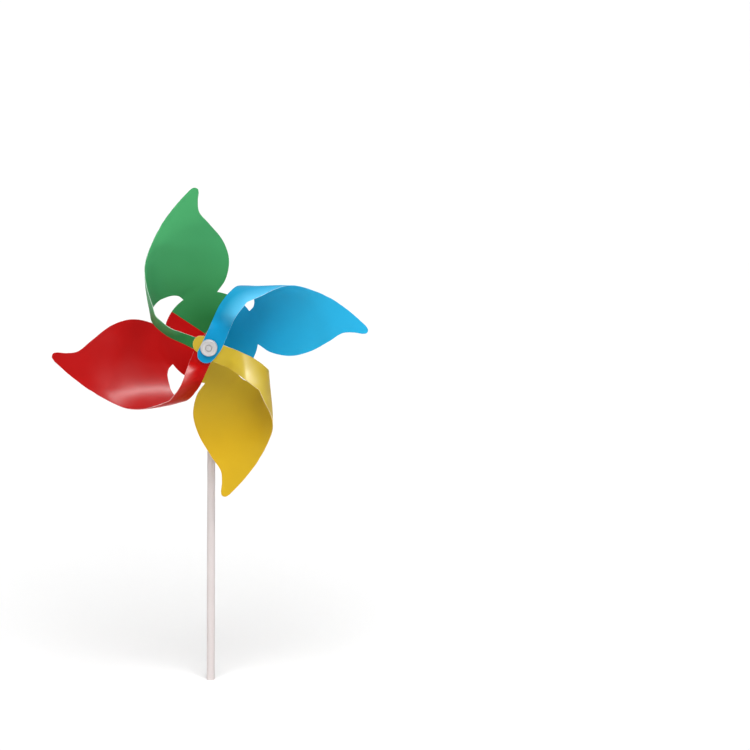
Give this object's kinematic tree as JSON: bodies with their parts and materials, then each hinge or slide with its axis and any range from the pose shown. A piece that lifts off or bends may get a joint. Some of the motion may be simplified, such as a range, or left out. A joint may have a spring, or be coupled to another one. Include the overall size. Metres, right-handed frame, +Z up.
{
  "type": "pinwheel",
  "caption": "Toy pinwheel: a four-coloured die-cut plastic sheet with curled straps gathered under a white button, turning freely on a pin near the top of a plain stick.",
  "frame": {"origin": "centre of the stick's lower end", "axes": "+Z up the stick, -Y out of the button's front face, +X to the viewer's right from the front"},
  "size_m": [0.24, 0.0663, 0.395],
  "materials": {
    "stick": "satin",
    "pin": "semi-gloss",
    "fittings": "semi-gloss",
    "button": "semi-gloss",
    "sheet_blue": "semi-gloss",
    "sheet_green": "semi-gloss",
    "sheet_red": "semi-gloss",
    "sheet_yellow": "semi-gloss"
  },
  "bodies": {
    "stand": {"stick": "stick", "axle_pin": "pin", "rear_cap": "fittings", "spacer": "fittings"},
    "rotor": {"hub_sleeve": "fittings", "front_button": "button", "vane_blue": "sheet_blue", "vane_green": "sheet_green", "vane_red": "sheet_red", "vane_yellow": "sheet_yellow"}
  },
  "joints": [
    {"name": "rotor_spin", "type": "hinge", "parent": "stand", "child": "rotor", "pos_m": [0, -0.03, 0.275], "axis": [0, -1, 0], "continuous": true}
  ]
}
